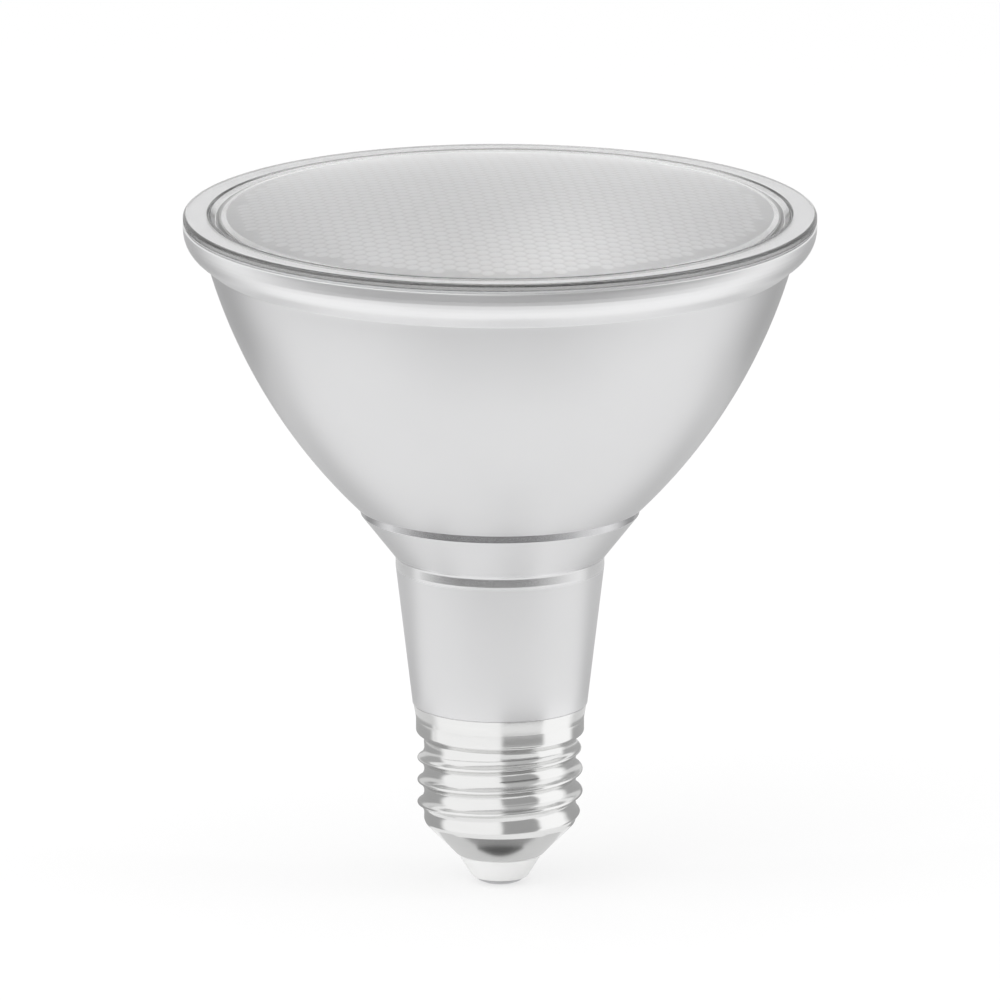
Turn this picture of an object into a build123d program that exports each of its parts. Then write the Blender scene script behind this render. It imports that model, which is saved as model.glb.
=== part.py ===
from build123d import *
import math
import os

# Par spotlight bulb. A pressed glass reflector with a clear domed lens stands on an Edison screw cap.
# An LED module sits in the collar of the reflector, and its driver sits in the neck.
# Millimetres, +Z up along the lamp's axis, origin at the tip of the centre contact.

# Centre contact
contact_radius = 3.6
contact_flat_radius = 2.6
contact_height = 0.9
rivet_radius = 1.2
rivet_head_radius = 2.0
rivet_head_height = 0.6

# Cap insulator
insulator_tip_radius = 4.4
insulator_edge_inset = 0.2
insulator_height = 3.9
insulator_dish_radius = 9.0
insulator_rim_height = 0.8
insulator_clearance = 0.1

# Screw cap shell, rolled from thin sheet with the standard E27 thread
thread_diameter = 26.4
thread_pitch = 3.629
thread_rounding = 1.025
thread_root_land = 0.06
thread_length = 13.8
thread_runout = 2.0
thread_phase = 0.65
thread_crest_flats = 3
cap_sheet = 0.35
cap_bend_radius = 0.5
cap_hole_radius = 7.0
cap_cone_height = 5.2
cap_cone_bend_radius = 1.6
cap_shoulder_height = 1.0
cap_band_overhang = 0.22
cap_band_height = 2.2
cap_lip_flare = 0.43
cap_lip_height = 2.4
cement_thickness = 0.32

# Reflector: one glass pressing with spigot, neck, collar, bowl and flange
glass_wall = 2.6
spigot_wall = 2.25
spigot_end_gap = 0.4
neck_overhang = 0.1
neck_flare = 2.9
neck_length = 24.2
neck_waist_height = 1.5
neck_top_rounding = 1.5
collar_flare = 5.4
collar_cone_height = 7.1
collar_step_height = 1.3
collar_ledge = 0.7
collar_edge_rounding = 0.4
bowl_depth = 39.55
bowl_curve_radius = 91.0
bowl_top_rounding = 1.2
rim_radius = 50.5
flange_width = 3.95
flange_rounding = 5.2
flange_slope = 51.5
flange_side_height = 0.8
seat_width = 3.9
mouth_slope_drop = 0.8

# Front lens and its seal
seal_thickness = 0.25
seal_inset = 0.3
lens_flange_thickness = 1.2
lens_edge_rounding = 0.6
lens_dome_inset = 0.5
lens_dome_height = 4.0
lens_thickness = 3.0
lens_groove_width = 0.6
lens_groove_depth = 0.45
lens_rib_clearance = 0.3
lens_rib_width = 1.9
lens_rib_length = 2.5

# Heat sink, board and light emitting packages
bond_gap = 0.25
heat_sink_plate = 2.6
heat_sink_stem = 10.0
heat_sink_rise = 0.6
heat_sink_sleeve_gap = 0.3
pad_thickness = 0.3
pad_inset = 0.3
board_margin = 2.6
board_thickness = 1.6
package_side = 3.0
package_height = 0.65
package_dome_height = 0.35
package_margin = 5.0
package_outer_count = 8
package_ring_gap = 5.0
package_inner_count = 4
screw_radius = 1.25
screw_fit = 0.05
screw_head_radius = 2.1
screw_head_height = 1.3
screw_slot_width = 0.5
screw_slot_depth = 0.5
screw_margin = 3.7
screw_grip = 3.5
screw_hole_spare = 0.5

# Driver sleeve and board
sleeve_clearance = 0.3
sleeve_wall = 1.0
sleeve_ledge_width = 1.7
sleeve_ledge_height = 1.0
sleeve_rise = 3.0
sleeve_end_gap = 6.6
driver_board_thickness = 1.6
driver_board_edge_gap = 0.25
driver_board_end_gap = 2.5

# Driver components, with heights measured up from the lower edge of the driver board
component_gap = 0.1
capacitor_wall_gap = 0.5
capacitor_length = 13.0
capacitor_rise = 20.5
capacitor_crimp_depth = 0.45
capacitor_bevel = 0.4
transformer_width = 11.0
transformer_wall_gap = 0.3
transformer_length = 11.0
transformer_rise = 15.5
transformer_leg = 2.2
winding_gap = 0.15
film_width = 9.0
film_depth = 4.4
film_length = 7.0
film_rise = 3.5
film_rounding = 0.8
choke_radius = 3.0
choke_waist_radius = 1.9
choke_flange = 1.1
choke_height = 6.2
choke_rise = 15.5
rectifier_width = 4.7
rectifier_depth = 1.6
rectifier_length = 4.0
rectifier_rise = 3.0
chip_width = 3.9
chip_depth = 1.4
chip_length = 4.9
chip_rise = 9.0
resistor_radius = 1.3
resistor_length = 7.0
resistor_rise = 27.5
resistor_end_radius = 1.5
resistor_end_length = 1.4

# Leads
lead_radius = 0.6
lead_bend_radius = 1.1
lead_hole_clearance = 0.3
lead_offset = 5.0
lead_stand_off = 2.2
lead_loop_reach = 3.4
lead_loop_height = 2.2
led_lead_drop = 5.0
input_lead_rise = 2.0
live_lead_offset = 3.2
live_lead_drop = 2.4
neutral_lead_drop = 1.5
neutral_lead_gap = 0.1

# Heights up the axis, each worked out from the piece below
cone_bottom = contact_height + insulator_height
thread_bottom = cone_bottom + cap_cone_height
thread_top = thread_bottom + thread_length
band_bottom = thread_top + cap_shoulder_height
band_top = band_bottom + cap_band_height
lip_top = band_top + cap_lip_height
spigot_bottom = band_bottom + spigot_end_gap
neck_top = lip_top + neck_length
collar_top = neck_top + collar_cone_height
bowl_bottom = collar_top + collar_step_height
bowl_top = bowl_bottom + bowl_depth

# Thread radii: crest and root arcs of one radius run into each other
crest_radius = thread_diameter / 2
thread_depth = 2 * thread_rounding - math.sqrt(4 * thread_rounding**2 - (thread_pitch / 2) ** 2)
core_radius = crest_radius - thread_depth + thread_root_land

# Radii from the cap upwards, each worked out from the piece that it fits or grows from
insulator_edge_radius = cap_hole_radius - insulator_edge_inset
cap_band_radius = crest_radius + cap_band_overhang
cap_lip_radius = cap_band_radius + cap_lip_flare
spigot_radius = cap_band_radius - cap_sheet - cement_thickness
neck_bottom_radius = cap_lip_radius + neck_overhang
neck_top_radius = neck_bottom_radius + neck_flare
collar_radius = neck_top_radius + collar_flare
bowl_bottom_radius = collar_radius + collar_ledge

# Flange: a sloped underside that rounds up into the upright side, and a seat for the lens inside it
bowl_top_radius = rim_radius - flange_width
mouth_radius = rim_radius - seat_width
lens_dome_radius = mouth_radius - lens_dome_inset
slope_sine = math.sin(math.radians(flange_slope))
slope_cosine = math.cos(math.radians(flange_slope))
flange_round_start_radius = rim_radius - flange_rounding * (1 - slope_cosine)
flange_round_start = bowl_top + (flange_round_start_radius - bowl_top_radius) * slope_cosine / slope_sine
flange_side_bottom = flange_round_start + flange_rounding * slope_sine
flange_top = flange_side_bottom + flange_side_height
lens_seat = flange_top + seal_thickness
ring_top = lens_seat + lens_flange_thickness


def inset(corners, distance):
    """Corners of the line that runs at one distance on the inner side of a rising outline."""
    normals = []
    for (r0, z0), (r1, z1) in zip(corners, corners[1:]):
        length = math.hypot(r1 - r0, z1 - z0)
        normals.append(((z0 - z1) / length, (r1 - r0) / length))
    before = [normals[0]] + normals
    after = normals + [normals[-1]]
    moved = []
    for (r, z), (ar, az), (br, bz) in zip(corners, before, after):
        scale = distance / (1 + ar * br + az * bz)
        moved.append((r + (ar + br) * scale, z + (az + bz) * scale))
    return moved


def radius_at(low, high, height):
    """Radius of the line through two corners at one height."""
    return low[0] + (height - low[1]) * (high[0] - low[0]) / (high[1] - low[1])


def height_at(low, high, radius):
    """Height of the line through two corners at one radius."""
    return low[1] + (radius - low[0]) * (high[1] - low[1]) / (high[0] - low[0])


def rounded(face, corners):
    """Outline with some of its corners rounded, each given as a point and a radius."""
    for corner, radius in corners:
        face = fillet(face.vertices().sort_by_distance(corner)[0], radius)
    return face


def turned(face):
    """Solid of revolution about the axis from an outline drawn as radius and height."""
    return revolve(Plane.XZ * face, Axis.Z)


def post(x, y, bottom, radius, height):
    """Upright cylinder that stands at one height."""
    return Pos(x, y, bottom) * Cylinder(radius, height, align=(Align.CENTER, Align.CENTER, Align.MIN))


def wire(*corners):
    """Round wire that runs through corners with bends of one radius."""
    path = FilletPolyline(*corners, radius=lead_bend_radius)
    return sweep(Plane(path @ 0, z_dir=path % 0) * Circle(lead_radius), path=path)


# Lines that several pieces share
cap_line = [
    (cap_hole_radius, cone_bottom),
    (core_radius, thread_bottom),
    (core_radius, thread_top),
    (cap_band_radius, band_bottom),
    (cap_band_radius, band_top),
    (cap_lip_radius, lip_top),
]
cap_inner_line = inset(cap_line, cap_sheet)
cap_inner_line[-1] = (radius_at(*cap_inner_line[-2:], lip_top), lip_top)
neck_line = [
    (neck_bottom_radius, lip_top),
    (neck_top_radius, neck_top),
    (collar_radius, collar_top),
]
spigot_bore_radius = spigot_radius - spigot_wall
bore_line = [(spigot_bore_radius, lip_top), *inset(neck_line, glass_wall)[1:]]

# Stack of the LED module
plate_top = collar_top + heat_sink_rise
plate_bottom = plate_top - heat_sink_plate
board_bottom = plate_top + pad_thickness
board_top = board_bottom + board_thickness
heat_sink_line = inset(bore_line, bond_gap)
plate_radius = radius_at(heat_sink_line[1], heat_sink_line[2], plate_top)
board_radius = plate_radius - board_margin
pad_radius = board_radius - pad_inset
package_outer_radius = board_radius - package_margin
package_inner_radius = package_outer_radius - package_ring_gap
screw_offset = board_radius - screw_margin

# Driver sleeve and board
sleeve_radius = spigot_bore_radius - sleeve_clearance
sleeve_bore_radius = sleeve_radius - sleeve_wall
sleeve_bottom = thread_bottom + sleeve_rise
sleeve_top = plate_bottom - sleeve_end_gap
driver_bottom = sleeve_bottom + sleeve_ledge_height
driver_top = sleeve_top - driver_board_end_gap
driver_face = driver_board_thickness / 2
capacitor_radius = (sleeve_bore_radius - driver_face - component_gap - capacitor_wall_gap) / 2
transformer_reach = sleeve_bore_radius - transformer_wall_gap
transformer_depth = math.sqrt(transformer_reach**2 - (transformer_width / 2) ** 2) - driver_face

# Insulator dish, which bears on the inside of the cap's cone
dish_line = inset(cap_line[:2], cap_sheet + insulator_clearance)
plug_radius = dish_line[0][0]
dish_top = height_at(*dish_line, insulator_dish_radius)
insulator_top = dish_top + insulator_rim_height
rivet_top = insulator_top + rivet_head_height

# Places on the LED board
lead_places = [(-lead_offset, driver_face + lead_stand_off), (lead_offset, driver_face + lead_stand_off)]
screw_places = [(-screw_offset, 0), (screw_offset, 0)]
lead_hole_radius = lead_radius + lead_hole_clearance


def front_lens():
    """Domed glass disc with an outer ring, a groove and a rib that drops into the mouth."""
    sphere = (lens_dome_radius**2 + lens_dome_height**2) / (2 * lens_dome_height)
    apex = ring_top + lens_dome_height
    rib_outer = mouth_radius - lens_rib_clearance
    rib_inner = rib_outer - lens_rib_width
    rib_bottom = lens_seat - lens_rib_length
    inner_sphere = sphere - lens_thickness
    inner_edge = apex - sphere + math.sqrt(inner_sphere**2 - rib_inner**2)
    groove_middle = lens_dome_radius + lens_groove_width / 2
    dome = RadiusArc((0, apex), (lens_dome_radius, ring_top), sphere)
    edge = Polyline(
        (lens_dome_radius, ring_top),
        (groove_middle, ring_top - lens_groove_depth),
        (lens_dome_radius + lens_groove_width, ring_top),
        (rim_radius, ring_top),
        (rim_radius, lens_seat),
        (rib_outer, lens_seat),
        (rib_outer, rib_bottom),
        (rib_inner, rib_bottom),
        (rib_inner, inner_edge),
    )
    hollow = RadiusArc((rib_inner, inner_edge), (0, apex - lens_thickness), -inner_sphere)
    axis = Line((0, apex - lens_thickness), (0, apex))
    face = make_face(Curve([dome, *edge.edges(), hollow, axis]))
    return turned(rounded(face, [((rim_radius, ring_top), lens_edge_rounding)]))


def lens_seal():
    """Thin bead between the flange and the lens."""
    ring = post(0, 0, flange_top, rim_radius - seal_inset, seal_thickness)
    return ring - post(0, 0, flange_top, mouth_radius, seal_thickness)


def reflector():
    """Glass pressing: spigot, tapered neck with an upright waist, stepped collar, bowl and flange."""
    waist_bottom = neck_top - neck_waist_height
    waist_radius = radius_at(neck_line[0], neck_line[1], waist_bottom)
    bowl_foot = (bowl_bottom_radius, bowl_bottom)
    bowl_edge = (bowl_top_radius, bowl_top)
    bowl_inner_top = (bowl_top_radius - glass_wall, bowl_top + mouth_slope_drop)
    mouth_bottom = bowl_inner_top[1] + (mouth_radius - bowl_inner_top[0]) * slope_cosine / slope_sine
    round_centre = (rim_radius - flange_rounding, flange_side_bottom)
    round_start = (flange_round_start_radius, flange_round_start)
    outer_neck = Polyline(
        (spigot_radius, spigot_bottom),
        (spigot_radius, lip_top),
        neck_line[0],
        (waist_radius, waist_bottom),
        (waist_radius, neck_top),
        neck_line[2],
        (collar_radius, bowl_bottom),
        bowl_foot,
    )
    outer_bowl = RadiusArc(bowl_foot, bowl_edge, -bowl_curve_radius)
    underside = Line(bowl_edge, round_start)
    rounding = CenterArc(round_centre, flange_rounding, -flange_slope, flange_slope)
    mouth = Polyline(
        (rim_radius, flange_side_bottom),
        (rim_radius, flange_top),
        (mouth_radius, flange_top),
        (mouth_radius, mouth_bottom),
        bowl_inner_top,
    )
    inner_bowl = RadiusArc(bowl_inner_top, bore_line[2], bowl_curve_radius - glass_wall)
    inner_neck = Polyline(
        *reversed(bore_line),
        (spigot_bore_radius, spigot_bottom),
        (spigot_radius, spigot_bottom),
    )
    outside = [*outer_neck.edges(), outer_bowl, underside, rounding]
    inside = [*mouth.edges(), inner_bowl, *inner_neck.edges()]
    corners = [
        ((waist_radius, neck_top), neck_top_rounding),
        (neck_line[2], collar_edge_rounding),
        (bowl_foot, collar_edge_rounding),
        (bowl_edge, bowl_top_rounding),
    ]
    return turned(rounded(make_face(Curve([*outside, *inside])), corners))


def heat_sink():
    """Aluminium cup bonded into the collar, with a plate for the board and a tapered stem."""
    stem_bottom = neck_top - heat_sink_stem
    cavity_radius = sleeve_radius + heat_sink_sleeve_gap
    face = make_face(
        Polyline(
            (0, plate_top),
            (plate_radius, plate_top),
            heat_sink_line[1],
            (radius_at(heat_sink_line[0], heat_sink_line[1], stem_bottom), stem_bottom),
            (cavity_radius, stem_bottom),
            (cavity_radius, plate_bottom),
            (0, plate_bottom),
            close=True,
        )
    )
    cup = turned(face)
    for x, y in lead_places:
        cup -= post(x, y, plate_bottom, lead_hole_radius, heat_sink_plate)
    depth = screw_grip + screw_hole_spare
    for x, y in screw_places:
        cup -= post(x, y, plate_top - depth, screw_radius + screw_fit, depth)
    return cup


def pierced_disc(radius, bottom, thickness):
    """Disc on the heat sink with the holes for leads and screws."""
    disc = post(0, 0, bottom, radius, thickness)
    for x, y in lead_places:
        disc -= post(x, y, bottom, lead_hole_radius, thickness)
    for x, y in screw_places:
        disc -= post(x, y, bottom, screw_radius + screw_fit, thickness)
    return disc


def led_packages():
    """Square emitters with low domes: one in the middle and two circles round it."""
    body = Pos(0, 0, board_top) * Box(
        package_side, package_side, package_height, align=(Align.CENTER, Align.CENTER, Align.MIN)
    )
    dome_radius = package_side / 2 - package_dome_height
    dome_face = make_face(
        Polyline((0, 0), (dome_radius, 0), (dome_radius - package_dome_height, package_dome_height),
                 (0, package_dome_height), close=True)
    )
    package = body + Pos(0, 0, board_top + package_height) * turned(dome_face)
    outer_turn = 180 / package_outer_count
    places = [
        Pos(0, 0),
        *PolarLocations(package_inner_radius, package_inner_count),
        *PolarLocations(package_outer_radius, package_outer_count, start_angle=outer_turn),
    ]
    return Compound([place * package for place in places])


def board_screws():
    """Slotted round headed screws that hold the board down."""
    screws = []
    grip = screw_grip + pad_thickness + board_thickness
    for x, y in screw_places:
        head = post(x, y, board_top, screw_head_radius, screw_head_height)
        head = chamfer(head.edges().group_by(Axis.Z)[-1], screw_head_height / 2)
        slot = Pos(x, y, board_top + screw_head_height) * Box(
            2 * screw_head_radius, screw_slot_width, 2 * screw_slot_depth
        )
        screws.append(head - slot + post(x, y, board_top - grip, screw_radius, grip))
    return Compound(screws)


def driver_sleeve():
    """Insulating tube with a ledge inside its lower end."""
    length = sleeve_top - sleeve_bottom
    tube = post(0, 0, sleeve_bottom, sleeve_radius, length)
    tube -= post(0, 0, driver_bottom, sleeve_bore_radius, length)
    return tube - post(0, 0, sleeve_bottom, sleeve_bore_radius - sleeve_ledge_width, sleeve_ledge_height)


def driver_board():
    """Upright circuit board that stands on the ledge of the sleeve."""
    half_width = math.sqrt((sleeve_bore_radius - driver_board_edge_gap) ** 2 - driver_face**2)
    return Pos(0, 0, driver_bottom) * Box(
        2 * half_width,
        driver_board_thickness,
        driver_top - driver_bottom,
        align=(Align.CENTER, Align.CENTER, Align.MIN),
    )


def block(x, side, rise, width, depth, length):
    """Component body that stands on the front (side -1) or the back (side 1) of the driver board."""
    middle = side * (driver_face + depth / 2)
    return Pos(x, middle, driver_bottom + rise) * Box(
        width, depth, length, align=(Align.CENTER, Align.CENTER, Align.MIN)
    )


def smoothing_capacitor():
    """Electrolytic can that lies along the front of the board, with its crimped groove."""
    can = post(0, 0, 0, capacitor_radius, capacitor_length)
    can = chamfer(can.edges().filter_by(GeomType.CIRCLE), capacitor_bevel)
    crimp_height = 3 * capacitor_crimp_depth
    crimp = make_face(
        Polyline(
            (capacitor_radius - capacitor_crimp_depth, crimp_height),
            (capacitor_radius, crimp_height - capacitor_crimp_depth),
            (capacitor_radius, crimp_height + capacitor_crimp_depth),
            close=True,
        )
    )
    can -= turned(crimp)
    return Pos(0, -driver_face - component_gap - capacitor_radius, driver_bottom + capacitor_rise) * can


def transformer_core():
    """Ferrite frame round the winding."""
    frame = block(0, 1, transformer_rise, transformer_width, transformer_depth, transformer_length)
    window_length = transformer_length - 2 * transformer_leg
    window = block(
        0, 1, transformer_rise + transformer_leg,
        transformer_width - 2 * transformer_leg, transformer_depth, window_length,
    )
    return frame - window


def transformer_winding():
    """Wound and taped coil in the window of the core."""
    width = transformer_width - 2 * transformer_leg - 2 * winding_gap
    length = transformer_length - 2 * transformer_leg - 2 * winding_gap
    rise = transformer_rise + transformer_leg + winding_gap
    return block(0, 1, rise, width, transformer_depth, length)


def film_capacitor():
    """Moulded box capacitor near the lower edge."""
    body = block(0, -1, film_rise, film_width, film_depth, film_length)
    outer_edges = body.faces().sort_by(Axis.Y)[0].edges()
    return fillet(outer_edges, film_rounding)


def filter_choke():
    """Drum core that stands on the front of the board."""
    drum = turned(
        make_face(
            Polyline(
                (0, 0),
                (choke_radius, 0),
                (choke_radius, choke_flange),
                (choke_waist_radius, choke_flange),
                (choke_waist_radius, choke_height - choke_flange),
                (choke_radius, choke_height - choke_flange),
                (choke_radius, choke_height),
                (0, choke_height),
                close=True,
            )
        )
    )
    return Pos(0, -driver_face, driver_bottom + choke_rise) * Rot(90, 0, 0) * drum


def bridge_rectifier():
    """Flat rectifier on the back."""
    return block(0, 1, rectifier_rise, rectifier_width, rectifier_depth, rectifier_length)


def driver_chip():
    """Control chip on the back."""
    return block(0, 1, chip_rise, chip_width, chip_depth, chip_length)


def fuse_resistor():
    """Fusible resistor with pressed end caps that lies along the back."""
    body = post(0, 0, 0, resistor_radius, resistor_length)
    for bottom in (0, resistor_length - resistor_end_length):
        body += post(0, 0, bottom, resistor_end_radius, resistor_end_length)
    middle = driver_face + component_gap + resistor_end_radius
    return Pos(0, middle, driver_bottom + resistor_rise) * body


def led_lead(place):
    """Lead from the driver board up through the heat sink and down to a pad on the LED board."""
    x, y = place
    bottom = driver_top - led_lead_drop
    top = board_top + lead_loop_height
    return wire(
        (x, driver_face, bottom),
        (x, y, bottom),
        (x, y, top),
        (x, y + lead_loop_reach, top),
        (x, y + lead_loop_reach, board_top),
    )


def live_lead():
    """Lead from the driver board to the rivet of the centre contact."""
    side = -driver_face - lead_stand_off
    bend = rivet_top + live_lead_drop
    return wire(
        (live_lead_offset, -driver_face, driver_bottom + input_lead_rise),
        (live_lead_offset, side, driver_bottom + input_lead_rise),
        (live_lead_offset, side, bend),
        (0, 0, bend),
        (0, 0, rivet_top),
    )


def neutral_lead():
    """Lead from the driver board under the sleeve to the inside of the cap shell."""
    side = driver_face + lead_stand_off
    bend = sleeve_bottom - neutral_lead_drop
    wall = cap_inner_line[1][0] - neutral_lead_gap
    reach = math.sqrt(wall**2 - (side + lead_radius) ** 2)
    return wire(
        (-lead_offset, driver_face, driver_bottom + input_lead_rise),
        (-lead_offset, side, driver_bottom + input_lead_rise),
        (-lead_offset, side, bend),
        (-reach, side, bend),
    )


def thread_ridge():
    """Right hand helical ridge of the rolled thread, faded out at both ends."""
    half_pitch = thread_pitch / 2
    crest_centre = crest_radius - thread_rounding
    root_centre = crest_radius - thread_depth + thread_rounding
    flank_angle = math.atan2(half_pitch / 2, thread_rounding - thread_depth / 2)
    half_flat = flank_angle / thread_crest_flats
    corner_reach = thread_rounding / math.cos(half_flat)
    side = []
    for turn in range(1, thread_crest_flats + 1, 2):
        angle = turn * half_flat
        side.append((crest_centre + corner_reach * math.cos(angle), corner_reach * math.sin(angle)))
    foot_angle = math.acos(1 - thread_root_land / 2 / thread_rounding)
    foot = half_pitch - thread_rounding * math.sin(foot_angle)
    side.append((root_centre - thread_rounding * math.cos(foot_angle), foot))
    side.append((core_radius - cap_sheet / 2, foot))
    other_side = [(radius, -height) for radius, height in reversed(side)]
    profile = make_face(Polyline(*other_side, *side, close=True))
    start = thread_bottom - thread_phase * thread_pitch
    path = Helix(thread_pitch, thread_top - start + half_pitch, crest_radius)
    ridge = Pos(0, 0, start) * sweep(Plane.XZ * profile, path=path, is_frenet=True)
    outside = crest_radius + thread_root_land
    envelope = turned(
        make_face(
            Polyline(
                (0, thread_bottom),
                (core_radius, thread_bottom),
                (outside, thread_bottom + thread_runout),
                (outside, thread_top - thread_runout),
                (core_radius, thread_top),
                (0, thread_top),
                close=True,
            )
        )
    )
    return ridge & envelope


def cap_shell():
    """Sheet shell of the screw cap: lower cone, thread, band and flared lip."""
    outside_bend = cap_bend_radius + cap_sheet
    outer_bends = [cap_cone_bend_radius, cap_bend_radius, outside_bend, 0]
    inner_bends = [cap_cone_bend_radius - cap_sheet, outside_bend, cap_bend_radius, 0]
    outer = FilletPolyline(*cap_line, radius=outer_bends)
    inner = FilletPolyline(*cap_inner_line, radius=inner_bends)
    ends = [Line(cap_line[0], cap_inner_line[0]), Line(cap_line[-1], cap_inner_line[-1])]
    sheet = turned(make_face(Curve([*outer.edges(), *inner.edges(), *ends])))
    return sheet + thread_ridge()


def cap_cement():
    """Ring of cement between the end of the neck and the band of the cap."""
    band, lip = cap_inner_line[4], cap_inner_line[5]
    return turned(
        make_face(
            Polyline(
                (spigot_radius, spigot_bottom),
                (band[0], spigot_bottom),
                band,
                (radius_at(band, lip, lip_top - bond_gap), lip_top - bond_gap),
                (spigot_radius, lip_top - bond_gap),
                close=True,
            )
        )
    )


def cap_insulator():
    """Insulator with an outer cone, a plug through the cap's hole and a dish inside it."""
    return turned(
        make_face(
            Polyline(
                (rivet_radius + insulator_clearance, contact_height),
                (insulator_tip_radius, contact_height),
                (insulator_edge_radius, cone_bottom),
                (plug_radius, cone_bottom),
                dish_line[0],
                (insulator_dish_radius, dish_top),
                (insulator_dish_radius, insulator_top),
                (rivet_radius + insulator_clearance, insulator_top),
                close=True,
            )
        )
    )


def centre_contact():
    """Contact disc with a rounded edge and a rivet through the insulator."""
    edge_height = contact_height / 2
    face = make_face(
        Curve(
            [
                *Polyline((0, 0), (contact_flat_radius, 0)).edges(),
                RadiusArc((contact_flat_radius, 0), (contact_radius, edge_height), -2 * contact_radius),
                *Polyline(
                    (contact_radius, edge_height),
                    (contact_radius, contact_height),
                    (rivet_radius, contact_height),
                    (rivet_radius, insulator_top),
                    (rivet_head_radius, insulator_top),
                    (rivet_head_radius, rivet_top),
                    (0, rivet_top),
                    (0, 0),
                ).edges(),
            ]
        )
    )
    return turned(face)


pieces = {
    "front_lens": front_lens(),
    "lens_seal": lens_seal(),
    "reflector": reflector(),
    "heat_sink": heat_sink(),
    "thermal_pad": pierced_disc(pad_radius, plate_top, pad_thickness),
    "led_board": pierced_disc(board_radius, board_bottom, board_thickness),
    "led_packages": led_packages(),
    "board_screws": board_screws(),
    "driver_sleeve": driver_sleeve(),
    "driver_board": driver_board(),
    "smoothing_capacitor": smoothing_capacitor(),
    "transformer_core": transformer_core(),
    "transformer_winding": transformer_winding(),
    "film_capacitor": film_capacitor(),
    "filter_choke": filter_choke(),
    "bridge_rectifier": bridge_rectifier(),
    "driver_chip": driver_chip(),
    "fuse_resistor": fuse_resistor(),
    "led_lead_negative": led_lead(lead_places[0]),
    "led_lead_positive": led_lead(lead_places[1]),
    "live_lead": live_lead(),
    "neutral_lead": neutral_lead(),
    "cap_cement": cap_cement(),
    "cap_shell": cap_shell(),
    "cap_insulator": cap_insulator(),
    "centre_contact": centre_contact(),
}

os.makedirs("parts", exist_ok=True)
for name, solid in pieces.items():
    export_step(solid, f"parts/{name}.step")
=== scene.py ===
import math

import bmesh
import bpy
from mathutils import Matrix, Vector


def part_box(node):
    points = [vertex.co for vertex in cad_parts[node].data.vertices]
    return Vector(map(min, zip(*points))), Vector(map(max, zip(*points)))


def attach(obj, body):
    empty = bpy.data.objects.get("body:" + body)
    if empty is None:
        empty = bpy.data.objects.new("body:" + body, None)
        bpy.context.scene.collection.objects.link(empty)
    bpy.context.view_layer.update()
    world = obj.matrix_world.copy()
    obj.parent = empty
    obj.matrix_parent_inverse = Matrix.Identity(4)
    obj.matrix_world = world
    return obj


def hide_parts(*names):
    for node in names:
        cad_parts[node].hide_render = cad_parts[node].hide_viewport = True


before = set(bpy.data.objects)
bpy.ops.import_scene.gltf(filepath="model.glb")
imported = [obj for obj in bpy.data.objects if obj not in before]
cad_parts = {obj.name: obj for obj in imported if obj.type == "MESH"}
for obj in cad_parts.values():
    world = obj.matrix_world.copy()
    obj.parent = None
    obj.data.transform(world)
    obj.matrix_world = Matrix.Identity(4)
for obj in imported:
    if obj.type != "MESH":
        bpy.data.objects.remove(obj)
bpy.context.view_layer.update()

# Par spotlight bulb: the glass, the lens and the screw cap are remade here with their true
# curves, and the solids inside get their finishes. Metres, +Z up along the axis, origin at
# the contact's tip.

mm = 0.001

# Heights and radii read from the solids
rim_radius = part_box("reflector")[1][0]
spigot_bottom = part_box("reflector")[0][2]
flange_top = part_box("lens_seal")[0][2]
lens_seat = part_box("lens_seal")[1][2]
lens_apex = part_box("front_lens")[1][2]
rib_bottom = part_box("front_lens")[0][2]
cone_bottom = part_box("cap_shell")[0][2]
lip_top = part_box("cap_shell")[1][2]
lip_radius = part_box("cap_shell")[1][0]
insulator_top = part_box("cap_insulator")[1][2]
insulator_dish_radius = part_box("cap_insulator")[1][0]
contact_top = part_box("cap_insulator")[0][2]
contact_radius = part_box("centre_contact")[1][0]
rivet_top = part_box("centre_contact")[1][2]
board_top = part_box("led_board")[1][2]

# Screw cap
cap_sheet = 0.35 * mm
cap_hole_radius = 7.0 * mm
cap_cone_height = 5.2 * mm
cone_rounding = 1.4 * mm
cone_inner_rounding = 1.2 * mm
thread_length = 13.8 * mm
thread_pitch = 3.629 * mm
thread_crest_radius = 13.2 * mm
thread_crest_rounding = 0.27 * mm
thread_root_rounding = 1.78 * mm
thread_runout = 2.4 * mm
thread_phase = 0.65
thread_rings = 110
thread_sharp_angle = 50
cone_bend_rings = 9
shoulder_bend_rings = 3
shoulder_height = 1.0 * mm
shoulder_rounding = 0.6 * mm
band_radius = 13.42 * mm
band_height = 2.2 * mm
lip_clearance = 0.01 * mm

# Reflector
glass_wall = 2.6 * mm
spigot_radius = 12.75 * mm
spigot_wall = 2.25 * mm
neck_bottom_radius = 13.95 * mm
neck_top_radius = 16.85 * mm
neck_length = 24.2 * mm
neck_waist_height = 1.5 * mm
neck_waist_rounding = 0.8 * mm
neck_inner_rounding = 1.0 * mm
collar_radius = 22.25 * mm
collar_cone_height = 7.1 * mm
collar_step_height = 1.3 * mm
bowl_bottom_radius = 22.95 * mm
bowl_depth = 39.55 * mm
bowl_curve_radius = 91.0 * mm
bowl_steps = 40
flange_width = 3.95 * mm
flange_slope = math.radians(51.5)
flange_rounding = 5.2 * mm
seat_width = 3.9 * mm
mouth_slope_drop = 0.8 * mm
mouth_rounding = 0.6 * mm

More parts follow.
